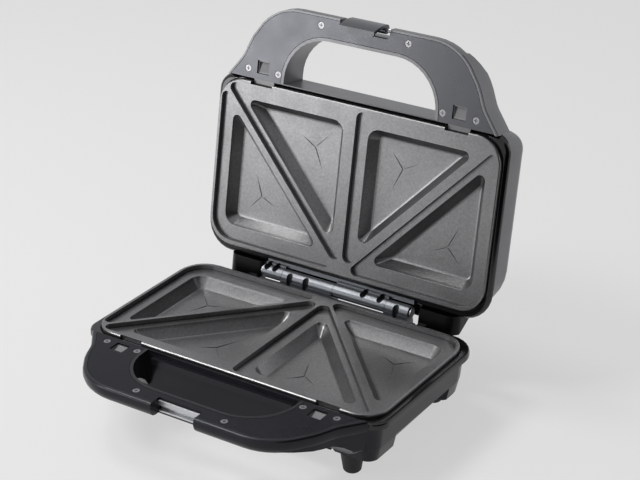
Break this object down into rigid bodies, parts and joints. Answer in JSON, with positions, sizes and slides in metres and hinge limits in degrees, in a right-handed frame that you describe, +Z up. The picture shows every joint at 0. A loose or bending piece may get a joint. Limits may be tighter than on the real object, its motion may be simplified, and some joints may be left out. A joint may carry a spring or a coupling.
{
  "type": "sandwich toaster",
  "caption": "Countertop sandwich toaster with a hinged lid, ridged plates that cut and seal triangles, two D-shaped handles, a latch clip and plate releases.",
  "frame": {"origin": "on the table, below the middle of the whole depth with the lid open, 6.7 mm behind the middle of the base's cooking plate", "axes": "+X to the right seen from the handles, +Y from the handles towards the hinge, +Z up"},
  "size_m": [0.245, 0.2616, 0.2479],
  "materials": {
    "shell_black": "fine satin moulding",
    "frame_gloss": "glossy black",
    "cover_grey": "satin dark grey",
    "plate_coating": "non-stick coating on a die casting",
    "heater_tube": "dull oxidised",
    "tray_aluminium": "bright sheet",
    "release_grey": "satin",
    "screw_dark": "blackened",
    "screw_steel": "zinc plated",
    "strike_steel": "satin",
    "foot_rubber": "matt",
    "bush_rubber": "matt",
    "control_ceramic": "glazed ceramic",
    "hinge_metal": "satin die casting",
    "pin_steel": "ground",
    "clip_grey": "satin",
    "lens_red": "translucent",
    "lens_green": "translucent"
  },
  "bodies": {
    "base": {"base_shell": "shell_black", "base_frame": "frame_gloss", "base_handle_cover": "cover_grey", "base_cooking_plate": "plate_coating", "base_heater": "heater_tube", "base_heat_tray": "tray_aluminium", "base_handle_screws": "screw_dark", "base_shell_screws": "screw_steel", "strike_plate": "strike_steel", "feet": "foot_rubber", "cord_gland": "bush_rubber", "thermostat": "control_ceramic", "thermal_fuse": "control_ceramic", "terminal_block": "control_ceramic", "base_hinge_leaf": "hinge_metal", "base_hinge_screws": "screw_dark", "hinge_pin": "pin_steel"},
    "lid": {"lid_shell": "shell_black", "lid_frame": "frame_gloss", "lid_handle_cover": "cover_grey", "lid_cooking_plate": "plate_coating", "lid_heater": "heater_tube", "lid_heat_tray": "tray_aluminium", "lid_handle_screws": "screw_dark", "lid_hinge_leaf": "hinge_metal", "lid_hinge_screws": "screw_dark", "latch_pin": "pin_steel", "power_lamp": "lens_red", "ready_lamp": "lens_green"},
    "latch": {"latch_clip": "clip_grey"},
    "base_left_release": {"base_left_release": "release_grey"},
    "base_right_release": {"base_right_release": "release_grey"},
    "lid_left_release": {"lid_left_release": "release_grey"},
    "lid_right_release": {"lid_right_release": "release_grey"}
  },
  "joints": [
    {"name": "lid_hinge", "type": "hinge", "parent": "base", "child": "lid", "pos_m": [0, 0.06807, 0.05275], "axis": [1, 0, 0], "range_deg": [0, 100]},
    {"name": "latch_pivot", "type": "hinge", "parent": "lid", "child": "latch", "pos_m": [0, 0.11001, 0.24311], "axis": [1, 0, 0], "range_deg": [-30, 9]},
    {"name": "base_left_release_slide", "type": "slide", "parent": "base", "child": "base_left_release", "axis": [0, -1, 0], "range_m": [0, 0.0022], "stiffness_N_per_m": 900},
    {"name": "base_right_release_slide", "type": "slide", "parent": "base", "child": "base_right_release", "axis": [0, -1, 0], "range_m": [0, 0.0022], "stiffness_N_per_m": 900},
    {"name": "lid_left_release_slide", "type": "slide", "parent": "lid", "child": "lid_left_release", "axis": [0, 0.1736, 0.9848], "range_m": [0, 0.0022], "stiffness_N_per_m": 900},
    {"name": "lid_right_release_slide", "type": "slide", "parent": "lid", "child": "lid_right_release", "axis": [0, 0.1736, 0.9848], "range_m": [0, 0.0022], "stiffness_N_per_m": 900}
  ]
}
